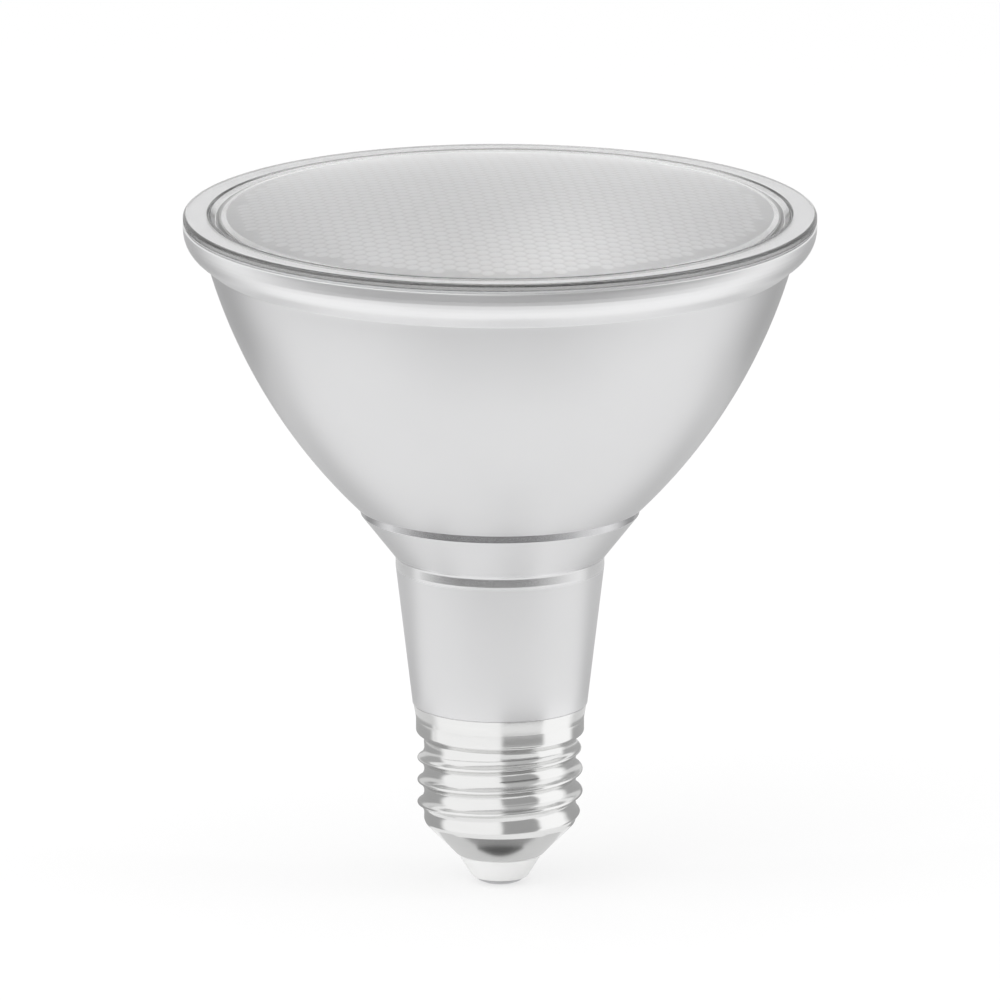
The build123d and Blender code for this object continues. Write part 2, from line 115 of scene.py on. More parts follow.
# Lens
lens_dome_inset = 0.5 * mm
lens_dome_height = 4.0 * mm
lens_dome_steps = 60
lens_thickness = 3.0 * mm
lens_rim_rounding = 0.55 * mm
lens_groove_width = 0.6 * mm
lens_groove_depth = 0.45 * mm
lens_rib_clearance = 0.3 * mm
lens_rib_width = 1.9 * mm
lens_sharp_angle = 22
seal_skin = 0.03 * mm
edge_depth = 0.3 * mm
cell_pitch = 2.2 * mm
cell_rise = 0.12 * mm
cell_seam_share = 0.6
# Painted shade: glass colour at the seams between the cells, darker than on their crowns
cell_seam_painted_shade = 0.66
cell_bending = 1.25
cell_turn = math.radians(35.4)
cell_zone_radius = 41.2 * mm
cell_border_radius = 43.2 * mm

# Insulator, contact and light emitters
insulator_tip_radius = 4.4 * mm
insulator_edge_radius = 6.8 * mm
insulator_edge_rounding = 0.25 * mm
insulator_rim_height = 0.8 * mm
insulator_plug_clearance = 0.45 * mm
insulator_dish_inset = 1.1 * mm
insulator_dish_rounding = 0.15 * mm
rivet_radius = 1.2 * mm
rivet_clearance = 0.1 * mm
rivet_head_radius = 2.0 * mm
rivet_head_height = 0.6 * mm
rivet_head_rounding = 0.25 * mm
contact_flat_radius = 2.6 * mm
contact_flat_rounding = 1.0 * mm
contact_edge_height = 0.42 * mm
package_height = 0.66 * mm

# Roundings of all other edges
hair_rounding = 0.05 * mm
fine_rounding = 0.1 * mm
crisp_rounding = 0.12 * mm
small_rounding = 0.2 * mm
plain_rounding = 0.3 * mm
soft_rounding = 0.4 * mm
full_rounding = 0.5 * mm

# Heights worked out from those
thread_bottom = cone_bottom + cap_cone_height
thread_top = thread_bottom + thread_length
band_bottom = thread_top + shoulder_height
band_top = band_bottom + band_height
neck_top = lip_top + neck_length
collar_top = neck_top + collar_cone_height
bowl_bottom = collar_top + collar_step_height
bowl_top = bowl_bottom + bowl_depth
bowl_top_radius = rim_radius - flange_width
mouth_radius = rim_radius - seat_width
ring_top = lens_apex - lens_dome_height

# Turned outlines: steps round the axis, degrees to a step of a bend, strip that keeps a flat
# flat beside a bend, shortest flat that has one, mark of a point on a curve, radius of a pole
around = 192
bend_step = 8
hold = 0.1 * mm
short_flat = 6 * hold
smooth = -1
pole = 0.01 * mm


def bow(start, end, radius, steps):
    """Points inside an arc between two corners; it bulges to the right of the way it runs."""
    (r0, z0), (r1, z1) = start, end
    chord = math.hypot(r1 - r0, z1 - z0)
    reach = math.sqrt(radius**2 - (chord / 2) ** 2)
    centre_r = (r0 + r1) / 2 - (z1 - z0) / chord * reach
    centre_z = (z0 + z1) / 2 + (r1 - r0) / chord * reach
    first = math.atan2(z0 - centre_z, r0 - centre_r)
    last = math.atan2(z1 - centre_z, r1 - centre_r)
    sweep = (last - first + math.pi) % (2 * math.pi) - math.pi
    points = []
    for step in range(1, steps):
        angle = first + sweep * step / steps
        across = centre_r + radius * math.cos(angle)
        points.append((across, centre_z + radius * math.sin(angle), smooth))
    return points


def bent(corners, closed=False):
    """Outline with rounded corners: each is a radius, a height and, where it is bent, a bend."""
    outline, soft = [], []
    count = len(corners)
    for index, corner in enumerate(corners):
        here = Vector(corner[:2])
        bend = corner[2] if len(corner) > 2 else 0
        inner = closed or 0 < index < count - 1
        if bend <= 0 or not inner:
            outline.append(here)
            soft.append(bend == smooth)
            continue
        before = (Vector(corners[index - 1][:2]) - here).normalized()
        after = (Vector(corners[(index + 1) % count][:2]) - here).normalized()
        turn = math.pi - before.angle(after)
        middle = here + (before + after).normalized() * bend / math.cos(turn / 2)
        first = here + before * bend * math.tan(turn / 2) - middle
        spin = turn if before.cross(after) < 0 else -turn
        steps = max(3, math.ceil(math.degrees(turn) / bend_step))
        for step in range(steps + 1):
            cosine, sine = math.cos(spin * step / steps), math.sin(spin * step / steps)
            across = first.x * cosine - first.y * sine
            up = first.x * sine + first.y * cosine
            outline.append(middle + Vector((across, up)))
            soft.append(False)
    held = []
    for index, point in enumerate(outline):
        held.append(point)
        ahead = (index + 1) % len(outline)
        run = outline[ahead] - point
        last = index == len(outline) - 1 and not closed
        if run.length > short_flat and not last and not (soft[index] or soft[ahead]):
            step = run.normalized() * hold
            held.extend([point + step, point + run - step])
    return held


def turned(name, outline, closed=True, tidy=True):
    """Piece turned about the axis, with its poles and its seam closed."""
    points, rings = [], []
    for radius, height in outline:
        first = len(points)
        if radius < pole:
            points.append((0, 0, height))
            rings.append([first] * around)
            continue
        for step in range(around):
            angle = 2 * math.pi * step / around
            points.append((radius * math.cos(angle), radius * math.sin(angle), height))
        rings.append(list(range(first, first + around)))
    faces = []
    pairs = list(zip(rings, rings[1:]))
    if closed:
        pairs.append((rings[-1], rings[0]))
    for low, high in pairs:
        for step in range(around):
            ahead = (step + 1) % around
            corners = [low[step], low[ahead], high[ahead], high[step]]
            face = list(dict.fromkeys(corners))
            if len(face) > 2:
                faces.append(face)
    mesh = bpy.data.meshes.new(name)
    mesh.from_pydata(points, [], faces)
    piece = bpy.data.objects.new(name, mesh)
    bpy.context.scene.collection.objects.link(piece)
    if tidy:
        close_up(mesh)
    return piece


def close_up(mesh, sharp=30):
    """Outward faces and smooth shading that stops at the sharp edges."""
    shape = bmesh.new()
    shape.from_mesh(mesh)
    bmesh.ops.recalc_face_normals(shape, faces=shape.faces)
    shape.to_mesh(mesh)
    shape.free()
    mesh.shade_smooth()
    mesh.set_sharp_from_angle(angle=math.radians(sharp))


# Node helpers

def join(tree, socket, value):
    """Link a socket, or set its value."""
    if isinstance(value, bpy.types.NodeSocket):
        tree.links.new(value, socket)
    else:
        socket.default_value = value


def put(tree, kind, inputs=None, output=0, **settings):
    """Node with its settings and inputs; gives one of its outputs."""
    made = tree.nodes.new(kind)
    for key, value in settings.items():
        setattr(made, key, value)
    for key, value in (inputs or {}).items():
        join(tree, made.inputs[key], value)
    return made.outputs[output]


def calc(tree, operation, *values):
    """Math node."""
    return put(tree, "ShaderNodeMath", dict(enumerate(values)), operation=operation)


def square(tree, value):
    """Value times itself."""
    return calc(tree, "MULTIPLY", value, value)


def ramp(tree, value, start, stop, first=0.0, last=1.0, kind="LINEAR"):
    """Value carried from one range to another and held at both ends."""
    ends = {"Value": value, "From Min": start, "From Max": stop, "To Min": first, "To Max": last}
    return put(tree, "ShaderNodeMapRange", ends, interpolation_type=kind)


def parts(tree, vector):
    """X, Y and Z of a vector."""
    split = tree.nodes.new("ShaderNodeSeparateXYZ")
    tree.links.new(vector, split.inputs[0])
    return split.outputs


def joined(tree, *shapes):
    """Shapes joined into one."""
    both = tree.nodes.new("GeometryNodeJoinGeometry")
    for shape in shapes:
        tree.links.new(shape, both.inputs[0])
    return both.outputs[0]


def rule(name, sizes):
    """Geometry Nodes tree with named sizes; gives the tree and the outputs of its inputs."""
    tree = bpy.data.node_groups.new(name, "GeometryNodeTree")
    tree.interface.new_socket("Geometry", in_out="INPUT", socket_type="NodeSocketGeometry")
    for label, value in sizes.items():
        socket = tree.interface.new_socket(label, in_out="INPUT", socket_type="NodeSocketFloat")
        socket.default_value = value
    tree.interface.new_socket("Geometry", in_out="OUTPUT", socket_type="NodeSocketGeometry")
    entry = tree.nodes.new("NodeGroupInput")
    return tree, {socket.name: socket for socket in entry.outputs if socket.name}


def end(tree, geometry, material, where=True):
    """Realize the instances, set the finish where a field says, and close the tree."""
    whole = put(tree, "GeometryNodeRealizeInstances", {"Geometry": geometry})
    coated = {"Geometry": whole, "Selection": where, "Material": material}
    whole = put(tree, "GeometryNodeSetMaterial", coated)
    way_out = tree.nodes.new("NodeGroupOutput")
    tree.links.new(whole, way_out.inputs["Geometry"])


def follow(piece, tree, sizes, sharp):
    """Run a tree on a piece and keep its result as a plain mesh."""
    modifier = piece.modifiers.new(tree.name, "NODES")
    modifier.node_group = tree
    for item in tree.interface.items_tree:
        if item.in_out == "INPUT" and item.name in sizes:
            modifier[item.identifier] = sizes[item.name]
    graph = bpy.context.evaluated_depsgraph_get()
    mesh = bpy.data.meshes.new_from_object(piece.evaluated_get(graph))
    piece.modifiers.remove(modifier)
    old = piece.data
    piece.data = mesh
    bpy.data.meshes.remove(old)
    mesh.name = piece.name
    close_up(mesh, sharp)


# Finishes: the middle of the noise that they use, and the ripple of the glass
noise_low, noise_high = 0.3, 0.7
ripple_scale = 160.0
ripple_gloss = 0.06
ripple_depth = 0.05 * mm
package_white = (0.82, 0.82, 0.8)
phosphor_yellow = (0.86, 0.66, 0.12)


def shader(name):
    """Material with a plain shader; gives the material, its tree and the shader."""
    material = bpy.data.materials.new(name)
    material.use_nodes = True
    tree = material.node_tree
    return material, tree, tree.nodes["Principled BSDF"]


def own_place(tree):
    """The piece's own coordinates."""
    return put(tree, "ShaderNodeTexCoord", output="Object")


def noise(tree, scale, detail=3.0, stretch=None):
    """Noise on the piece's own coordinates; the scale is in marks per metre."""
    place = own_place(tree)
    if stretch:
        place = put(tree, "ShaderNodeMapping", {"Vector": place, "Scale": stretch})
    marks = {"Vector": place, "Scale": scale, "Detail": detail}
    return put(tree, "ShaderNodeTexNoise", marks, output="Fac")


def two_colours(tree, surface, share, colour, shade):
    """Colour the surface with a mix of two colours."""
    mixed = tree.nodes.new("ShaderNodeMix")
    mixed.data_type = "RGBA"
    join(tree, mixed.inputs[0], share)
    join(tree, mixed.inputs[6], (*colour, 1))
    join(tree, mixed.inputs[7], (*shade, 1))
    join(tree, surface.inputs["Base Color"], mixed.outputs[2])


def finish(
    name, colour, shade, rough, grain, relief=0.0, mottle=120.0, spread=0.08, metal=0.0,
    stretch=None, polish=None,
):
    """Two mottled colours, uneven gloss and a fine grain.

    A polished zone is given by its middle height, half its width and how much smoother it is.
    """
    material, tree, surface = shader(name)
    patches = noise(tree, mottle, stretch=stretch)
    two_colours(tree, surface, ramp(tree, patches, noise_low, noise_high), colour, shade)
    fine = noise(tree, grain, stretch=stretch)
    gloss = ramp(tree, fine, noise_low, noise_high, rough - spread, rough + spread)
    if polish:
        middle, half, depth = polish
        height = parts(tree, own_place(tree))["Z"]
        away = calc(tree, "ABSOLUTE", calc(tree, "SUBTRACT", height, middle))
        smoother = ramp(tree, away, half / 2, half, depth, 0.0, "SMOOTHSTEP")
        gloss = calc(tree, "SUBTRACT", gloss, smoother)
    join(tree, surface.inputs["Roughness"], gloss)
    surface.inputs["Metallic"].default_value = metal
    if relief:
        grained = {"Height": fine, "Strength": 0.5, "Distance": relief}
        join(tree, surface.inputs["Normal"], put(tree, "ShaderNodeBump", grained))
    return material


def pressed_glass(name, low, tint=0.985, cells=False, bending=1.5):
    """Pressed clear glass with a faint ripple; the lowest roughness sets how frosted it is. With
    cells, the colour is darkened at the seams between them: painted shade.
    """
    material, tree, surface = shader(name)
    surface.inputs["Base Color"].default_value = (tint, tint, tint, 1)
    # Painted shade: the colour darkens from the cell crowns down to the seams between them
    if cells:
        crown = put(tree, "ShaderNodeAttribute", attribute_name="rise", output="Fac")
        shade = ramp(tree, crown, 0.0, cell_rise * cell_seam_share, cell_seam_painted_shade, tint)
        join(tree, surface.inputs["Base Color"], shade)
    surface.inputs["Transmission Weight"].default_value = 1.0
    surface.inputs["IOR"].default_value = bending
    ripple = noise(tree, ripple_scale, 2.0)
    gloss = ramp(tree, ripple, 0.0, 1.0, low, low + ripple_gloss)
    join(tree, surface.inputs["Roughness"], gloss)
    rippled = {"Height": ripple, "Strength": 0.05, "Distance": ripple_depth}
    join(tree, surface.inputs["Normal"], put(tree, "ShaderNodeBump", rippled))
    return material


def emitter_finish():
    """Yellow phosphor dome on a white package, told apart by height."""
    material, tree, surface = shader("phosphor_on_white_package")
    height = parts(tree, own_place(tree))["Z"]
    dome = calc(tree, "GREATER_THAN", height, board_top + package_height)
    two_colours(tree, surface, dome, package_white, phosphor_yellow)
    gloss = ramp(tree, noise(tree, 3000.0), 0.0, 1.0, 0.25, 0.45)
    join(tree, surface.inputs["Roughness"], gloss)
    return material


glass = pressed_glass("clear_pressed_glass", 0.0)
cell_glass = pressed_glass("etched_cell_glass", 0.5, 0.97, cells=True, bending=cell_bending)
# Painted shade: the ground glass at the lens edge is tinted dark grey
edge_glass = pressed_glass("ground_edge_glass", 0.12, 0.42)
# Painted shade: the glass in the lens groove is tinted grey
groove_glass = pressed_glass("moulded_groove_glass", 0.12, 0.5)
satin_silver = finish(
    "satin_silvered_glass", (0.76, 0.76, 0.765), (0.745, 0.745, 0.75), 0.36, 5000,
    relief=0.001 * mm, mottle=60, spread=0.015, metal=1.0,
    polish=(neck_top - neck_waist_height / 2, 1.5 * mm, 0.18),
)
# Painted light: the outer faces of the flange get a paler silver than the bowl
bright_flange = finish(
    "bright_flange", (0.89, 0.89, 0.895), (0.87, 0.87, 0.875), 0.36, 5000,
    mottle=60, spread=0.02, metal=1.0,
)
polished_step = finish(
    "polished_glass_step", (0.72, 0.72, 0.73), (0.64, 0.64, 0.65), 0.17, 900,
    mottle=150, spread=0.01, metal=1.0,
)
mirror_coat = finish(
    "aluminised_mirror", (0.93, 0.93, 0.935), (0.91, 0.91, 0.915), 0.55, 900,
    spread=0.04, metal=1.0,
)
nickel = finish(
    "bright_nickel", (0.80, 0.80, 0.795), (0.775, 0.775, 0.77), 0.17, 1800,
    mottle=200, spread=0.012, metal=1.0, stretch=(0.4, 0.4, 3.0),
)
insulator_white = finish(
    "glazed_white_insulator", (0.90, 0.90, 0.895), (0.88, 0.88, 0.875), 0.4, 2500,
    relief=0.003 * mm,
)
contact_metal = finish(
    "tinned_contact", (0.62, 0.62, 0.63), (0.55, 0.55, 0.56), 0.36, 1500,
    relief=0.02 * mm, metal=1.0,
)


def look(colour, shade, rough, grain, **rest):
    """Finish of a solid that keeps its shape."""
    return dict(colour=colour, shade=shade, rough=rough, grain=grain, **rest)


def lead_look(colour, shade):
    """Finish of an insulated lead."""
    return look(colour, shade, 0.45, 2500, relief=0.01 * mm)


finishes = {
    "lens_seal": look((0.66, 0.66, 0.67), (0.61, 0.61, 0.62), 0.45, 2000, relief=0.02 * mm),
    "heat_sink": look(
        (0.72, 0.73, 0.74), (0.62, 0.63, 0.64), 0.36, 1600,
        relief=0.02 * mm, metal=1.0, stretch=(1, 1, 6),
    ),
    "thermal_pad": look((0.42, 0.45, 0.5), (0.36, 0.39, 0.44), 0.7, 2500, relief=0.02 * mm),
    "led_board": look((0.83, 0.83, 0.81), (0.78, 0.78, 0.76), 0.38, 2000, relief=0.01 * mm),
    "board_screws": look((0.66, 0.66, 0.67), (0.5, 0.5, 0.52), 0.28, 3000, metal=1.0),
    "driver_sleeve": look((0.8, 0.8, 0.78), (0.74, 0.74, 0.72), 0.5, 1400, relief=0.02 * mm),
    "driver_board": look((0.03, 0.19, 0.08), (0.02, 0.14, 0.06), 0.4, 1500),
    "smoothing_capacitor": look((0.03, 0.03, 0.035), (0.05, 0.05, 0.055), 0.35, 900),
    "transformer_core": look((0.05, 0.05, 0.05), (0.09, 0.09, 0.09), 0.6, 3000, relief=0.03 * mm),
    "transformer_winding": look((0.8, 0.6, 0.12), (0.7, 0.5, 0.08), 0.35, 1200),
    "film_capacitor": look((0.5, 0.06, 0.04), (0.42, 0.04, 0.03), 0.35, 1600),
    "filter_choke": look((0.06, 0.06, 0.065), (0.1, 0.1, 0.1), 0.55, 2600, relief=0.03 * mm),
    "bridge_rectifier": look((0.03, 0.03, 0.03), (0.05, 0.05, 0.05), 0.5, 2600),
    "driver_chip": look((0.025, 0.025, 0.028), (0.045, 0.045, 0.05), 0.5, 3200),
    "fuse_resistor": look((0.12, 0.3, 0.5), (0.09, 0.25, 0.43), 0.35, 1800),
    "led_lead_negative": lead_look((0.03, 0.03, 0.03), (0.05, 0.05, 0.05)),
    "led_lead_positive": lead_look((0.55, 0.04, 0.03), (0.46, 0.03, 0.02)),
    "live_lead": lead_look((0.24, 0.12, 0.05), (0.19, 0.09, 0.04)),
    "neutral_lead": lead_look((0.04, 0.14, 0.5), (0.03, 0.11, 0.42)),
    "cap_cement": look((0.6, 0.57, 0.5), (0.5, 0.47, 0.41), 0.85, 2200, relief=0.05 * mm),
}


# Pieces

def pressed_reflector():
    """Glass pressing with spigot, neck, stepped collar, curved bowl and rounded flange."""
    bore = spigot_radius - spigot_wall
    neck_lean = math.atan2(neck_top_radius - neck_bottom_radius, neck_length)
    collar_lean = math.atan2(collar_radius - neck_top_radius, collar_cone_height)
    mean_lean = (neck_lean + collar_lean) / 2
    mitre = glass_wall / math.cos((collar_lean - neck_lean) / 2)
    inner_neck_top = (
        neck_top_radius - mitre * math.cos(mean_lean),
        neck_top + mitre * math.sin(mean_lean),
    )
    inner_collar_top = (
        collar_radius - glass_wall * math.cos(collar_lean),
        collar_top + glass_wall * math.sin(collar_lean),
    )
    waist_radius = neck_top_radius - neck_waist_height * math.tan(neck_lean)
    bowl_start, bowl_end = (bowl_bottom_radius, bowl_bottom), (bowl_top_radius, bowl_top)
    flange_corner = bowl_top + (rim_radius - bowl_top_radius) / math.tan(flange_slope)
    inner_top = (bowl_top_radius - glass_wall, bowl_top + mouth_slope_drop)
    mouth_bottom = inner_top[1] + (mouth_radius - inner_top[0]) / math.tan(flange_slope)
    inner_curve = bow(inner_collar_top, inner_top, bowl_curve_radius - glass_wall, bowl_steps)
    corners = [
        (bore, spigot_bottom, plain_rounding),
        (spigot_radius, spigot_bottom, plain_rounding),
        (spigot_radius, lip_top),
        (neck_bottom_radius, lip_top, small_rounding),
        (waist_radius, neck_top - neck_waist_height, neck_waist_rounding),
        (waist_radius, neck_top, full_rounding),
        (collar_radius, collar_top, small_rounding),
        (collar_radius, bowl_bottom, crisp_rounding),
        (*bowl_start, plain_rounding),
        *bow(bowl_start, bowl_end, bowl_curve_radius, bowl_steps),
        (*bowl_end, soft_rounding),
        (rim_radius, flange_corner, flange_rounding),
        (rim_radius, flange_top, plain_rounding),
        (mouth_radius, flange_top, plain_rounding),
        (mouth_radius, mouth_bottom, mouth_rounding),
        inner_top,
        *reversed(inner_curve),
        (*inner_collar_top, full_rounding),
        (*inner_neck_top, neck_inner_rounding),
        (bore, lip_top, full_rounding),
    ]
    piece = turned("pressed_reflector", bent(corners, closed=True))
    for material in (satin_silver, mirror_coat, polished_step, bright_flange):
        piece.data.materials.append(material)
    for face in piece.data.polygons:
        inward = face.normal.x * face.center.x + face.normal.y * face.center.y < 0
        height = face.center.z
        if inward:
            face.material_index = 1 if height > collar_top else 0
        # outer faces of the flange: the paler silver of painted light
        elif height > bowl_top and face.normal.z < 0.5:
            face.material_index = 3
        elif collar_top < height < bowl_bottom:
            face.material_index = 2
    return piece


def honeycomb_rule(sphere, apex):
    """Tree that lays hexagonal cells on the inside of the dome and joins them to the lens body."""
    sizes = {
        "Pitch": cell_pitch,
        "Rise": cell_rise,
        "Turn": cell_turn,
        "Zone Radius": cell_zone_radius,
        "Border Radius": cell_border_radius,
        "Sphere Radius": sphere,
        "Apex": apex,
    }
    tree, size = rule("honeycomb_lens", sizes)
    row_share = math.sqrt(3) / 2
    columns = 2 * math.ceil(cell_zone_radius / cell_pitch) + 4
    rows = 2 * math.ceil(cell_zone_radius / (cell_pitch * row_share)) + 4

    # Points of the honeycomb
    index = put(tree, "GeometryNodeInputIndex")
    column = calc(tree, "MODULO", index, columns)
    row = calc(tree, "FLOOR", calc(tree, "DIVIDE", index, columns))
    offset = calc(tree, "MULTIPLY", calc(tree, "MODULO", row, 2), 0.5)
    across = calc(tree, "ADD", calc(tree, "SUBTRACT", column, columns / 2), offset)
    x = calc(tree, "MULTIPLY", across, size["Pitch"])
    step = calc(tree, "MULTIPLY", size["Pitch"], row_share)
    y = calc(tree, "MULTIPLY", calc(tree, "SUBTRACT", row, rows / 2), step)
    spot = put(tree, "ShaderNodeCombineXYZ", {"X": x, "Y": y})
    spots = put(tree, "GeometryNodePoints", {"Count": columns * rows, "Position": spot})
    place = put(tree, "GeometryNodeInputPosition")
    reach = put(tree, "ShaderNodeVectorMath", {0: place}, output="Value", operation="LENGTH")
    zone = {0: reach, 1: size["Zone Radius"]}
    inside = put(tree, "FunctionNodeCompare", zone, operation="LESS_THAN")

    # One cell, with its height over the seams kept as an attribute
    corner = calc(tree, "DIVIDE", size["Pitch"], math.sqrt(3))
    six = {"Vertices": 6, "Radius": corner}
    hexagon = put(tree, "GeometryNodeMeshCircle", six, fill_type="TRIANGLE_FAN")
    upright = {"Geometry": hexagon, "Rotation": (0, 0, math.radians(30))}
    hexagon = put(tree, "GeometryNodeTransform", upright)
    hexagon = put(tree, "GeometryNodeSubdivideMesh", {"Mesh": hexagon, "Level": 1})
    corner_square = square(tree, corner)
    both_squares = calc(tree, "ADD", corner_square, square(tree, size["Rise"]))
    ball = calc(tree, "DIVIDE", both_squares, calc(tree, "MULTIPLY", size["Rise"], 2))
    ball_square = square(tree, ball)
    reach_square = square(tree, reach)
    height = calc(
        tree, "SUBTRACT",
        calc(tree, "SQRT", calc(tree, "SUBTRACT", ball_square, reach_square)),
        calc(tree, "SQRT", calc(tree, "SUBTRACT", ball_square, corner_square)),
    )
    raised = {"Geometry": hexagon, "Name": "rise", "Value": height}
    cell = put(tree, "GeometryNodeStoreNamedAttribute", raised, data_type="FLOAT")
    laid = {"Points": spots, "Selection": inside, "Instance": cell}
    cells = put(tree, "GeometryNodeInstanceOnPoints", laid)
    cells = put(tree, "GeometryNodeRealizeInstances", {"Geometry": cells})
    turn = put(tree, "ShaderNodeCombineXYZ", {"Z": size["Turn"]})
    cells = put(tree, "GeometryNodeTransform", {"Geometry": cells, "Rotation": turn})
    near = calc(tree, "MULTIPLY", size["Pitch"], 0.01)
    cells = put(tree, "GeometryNodeMergeByDistance", {"Geometry": cells, "Distance": near})

    # Margin between the ragged edge of the cells and the round border
    sides = put(tree, "GeometryNodeInputMeshEdgeNeighbors")
    ragged = put(tree, "FunctionNodeCompare", {2: sides, 3: 1}, operation="EQUAL", data_type="INT")
    edge = put(tree, "GeometryNodeMeshToCurve", {"Mesh": cells, "Selection": ragged})
    ring = {"Resolution": around, "Radius": size["Border Radius"]}
    border = put(tree, "GeometryNodeCurvePrimitiveCircle", ring)
    margin = put(tree, "GeometryNodeFillCurve", {"Curve": joined(tree, edge, border)})

    # All of it bowed to the dome and joined to the turned body
    flat = {"Geometry": joined(tree, cells, margin), "Distance": near}
    flat = put(tree, "GeometryNodeMergeByDistance", flat)
    stored = put(tree, "GeometryNodeInputNamedAttribute", {"Name": "rise"}, data_type="FLOAT")
    sphere_square = square(tree, size["Sphere Radius"])
    over_centre = calc(tree, "SQRT", calc(tree, "SUBTRACT", sphere_square, reach_square))
    dome = calc(tree, "SUBTRACT", over_centre, size["Sphere Radius"])
    level = calc(tree, "SUBTRACT", calc(tree, "ADD", size["Apex"], dome), stored)
    lift = put(tree, "ShaderNodeCombineXYZ", {"Z": level})
    curved = put(tree, "GeometryNodeSetPosition", {"Geometry": flat, "Offset": lift})
    marked = put(
        tree, "GeometryNodeStoreNamedAttribute",
        {"Geometry": curved, "Name": "etched", "Value": True},
        data_type="BOOLEAN", domain="FACE",
    )
    whole = {"Geometry": joined(tree, marked, size["Geometry"]), "Distance": near}
    whole = put(tree, "GeometryNodeMergeByDistance", whole)
    etched = put(tree, "GeometryNodeInputNamedAttribute", {"Name": "etched"}, data_type="BOOLEAN")
    end(tree, whole, cell_glass, etched)
    return tree, sizes


def honeycomb_lens():
    """Clear lens: smooth dome, groove, outer ring and rib, with hexagonal cells on its inside."""
    dome_edge = mouth_radius - lens_dome_inset
    groove_edge = dome_edge + lens_groove_width
    sphere = (dome_edge**2 + lens_dome_height**2) / (2 * lens_dome_height)
    inner_sphere = sphere - lens_thickness
    rib_outer = mouth_radius - lens_rib_clearance
    rib_inner = rib_outer - lens_rib_width

    def inner_height(radius):
        return lens_apex - sphere + math.sqrt(inner_sphere**2 - radius**2)

    lens_bottom = lens_seat + seal_skin
    corners = [
        (0, lens_apex),
        *reversed(bow((dome_edge, ring_top), (0, lens_apex), sphere, lens_dome_steps)),
        (dome_edge, ring_top, crisp_rounding),
        (dome_edge + lens_groove_width / 2, ring_top - lens_groove_depth, crisp_rounding),
        (groove_edge, ring_top, crisp_rounding),
        (rim_radius, ring_top, lens_rim_rounding),
        (rim_radius, lens_bottom, small_rounding),
        (rib_outer, lens_bottom, small_rounding),
        (rib_outer, rib_bottom, soft_rounding),
        (rib_inner, rib_bottom, soft_rounding),
        (rib_inner, inner_height(rib_inner), full_rounding),
        (cell_border_radius, inner_height(cell_border_radius)),
    ]
    piece = turned("honeycomb_lens", bent(corners), closed=False, tidy=False)
    for material in (glass, edge_glass, groove_glass):
        piece.data.materials.append(material)
    for face in piece.data.polygons:
        radius = math.hypot(face.center.x, face.center.y)
        if dome_edge < radius < groove_edge and face.center.z > lens_seat:
            face.material_index = 2
        elif radius > rim_radius - edge_depth:
            face.material_index = 1
    tree, sizes = honeycomb_rule(inner_sphere, lens_apex - lens_thickness)
    follow(piece, tree, sizes, lens_sharp_angle)
    piece.data.attributes.remove(piece.data.attributes["etched"])
    return piece


def thread_rule():
    """Tree that rolls the screw thread into the turned sheet, faded out at both ends."""
    arcs = thread_crest_rounding + thread_root_rounding
    sizes = {
        "Pitch": thread_pitch,
        "Depth": arcs - math.sqrt(arcs**2 - (thread_pitch / 2) ** 2),
        "Crest Rounding": thread_crest_rounding,
        "Root Rounding": thread_root_rounding,
        "Bottom": thread_bottom,
        "Top": thread_top,
        "Runout": thread_runout,
        "Phase": thread_phase,
    }
    tree, size = rule("rolled_thread", sizes)
    x, y, z = parts(tree, put(tree, "GeometryNodeInputPosition"))
    turns = calc(tree, "DIVIDE", calc(tree, "ARCTAN2", y, x), 2 * math.pi)
    climb = calc(tree, "DIVIDE", calc(tree, "SUBTRACT", z, size["Bottom"]), size["Pitch"])
    along = calc(tree, "SUBTRACT", calc(tree, "ADD", climb, size["Phase"]), turns)
    part = calc(tree, "SUBTRACT", calc(tree, "FRACT", calc(tree, "ADD", along, 0.5)), 0.5)
    away = calc(tree, "MULTIPLY", calc(tree, "ABSOLUTE", part), size["Pitch"])
    half = calc(tree, "DIVIDE", size["Pitch"], 2)

    def arc(rounding, distance):
        gap = calc(tree, "SUBTRACT", square(tree, rounding), square(tree, distance))
        drop = calc(tree, "SQRT", calc(tree, "MAXIMUM", gap, 0.0))
        return calc(tree, "SUBTRACT", rounding, drop)

    crest = calc(tree, "SUBTRACT", size["Depth"], arc(size["Crest Rounding"], away))
    root = arc(size["Root Rounding"], calc(tree, "SUBTRACT", half, away))
    roundings = calc(tree, "ADD", size["Crest Rounding"], size["Root Rounding"])
    share = calc(tree, "MULTIPLY", half, size["Crest Rounding"])
    on_crest = calc(tree, "LESS_THAN", away, calc(tree, "DIVIDE", share, roundings))
    crest_part = calc(tree, "MULTIPLY", crest, on_crest)
    root_part = calc(tree, "MULTIPLY", root, calc(tree, "SUBTRACT", 1.0, on_crest))
    wave = calc(tree, "ADD", crest_part, root_part)
    full_from = calc(tree, "ADD", size["Bottom"], size["Runout"])
    full_to = calc(tree, "SUBTRACT", size["Top"], size["Runout"])
    fade_in = ramp(tree, z, size["Bottom"], full_from, kind="SMOOTHSTEP")
    fade_out = ramp(tree, z, size["Top"], full_to, kind="SMOOTHSTEP")
    rise = calc(tree, "MULTIPLY", wave, calc(tree, "MULTIPLY", fade_in, fade_out))
    level = put(tree, "ShaderNodeCombineXYZ", {"X": x, "Y": y})
    outward = put(tree, "ShaderNodeVectorMath", {0: level}, operation="NORMALIZE")
    shift = put(tree, "ShaderNodeVectorMath", {0: outward, "Scale": rise}, operation="SCALE")
    rolled = {"Geometry": size["Geometry"], "Offset": shift}
    end(tree, put(tree, "GeometryNodeSetPosition", rolled), nickel)
    return tree, sizes


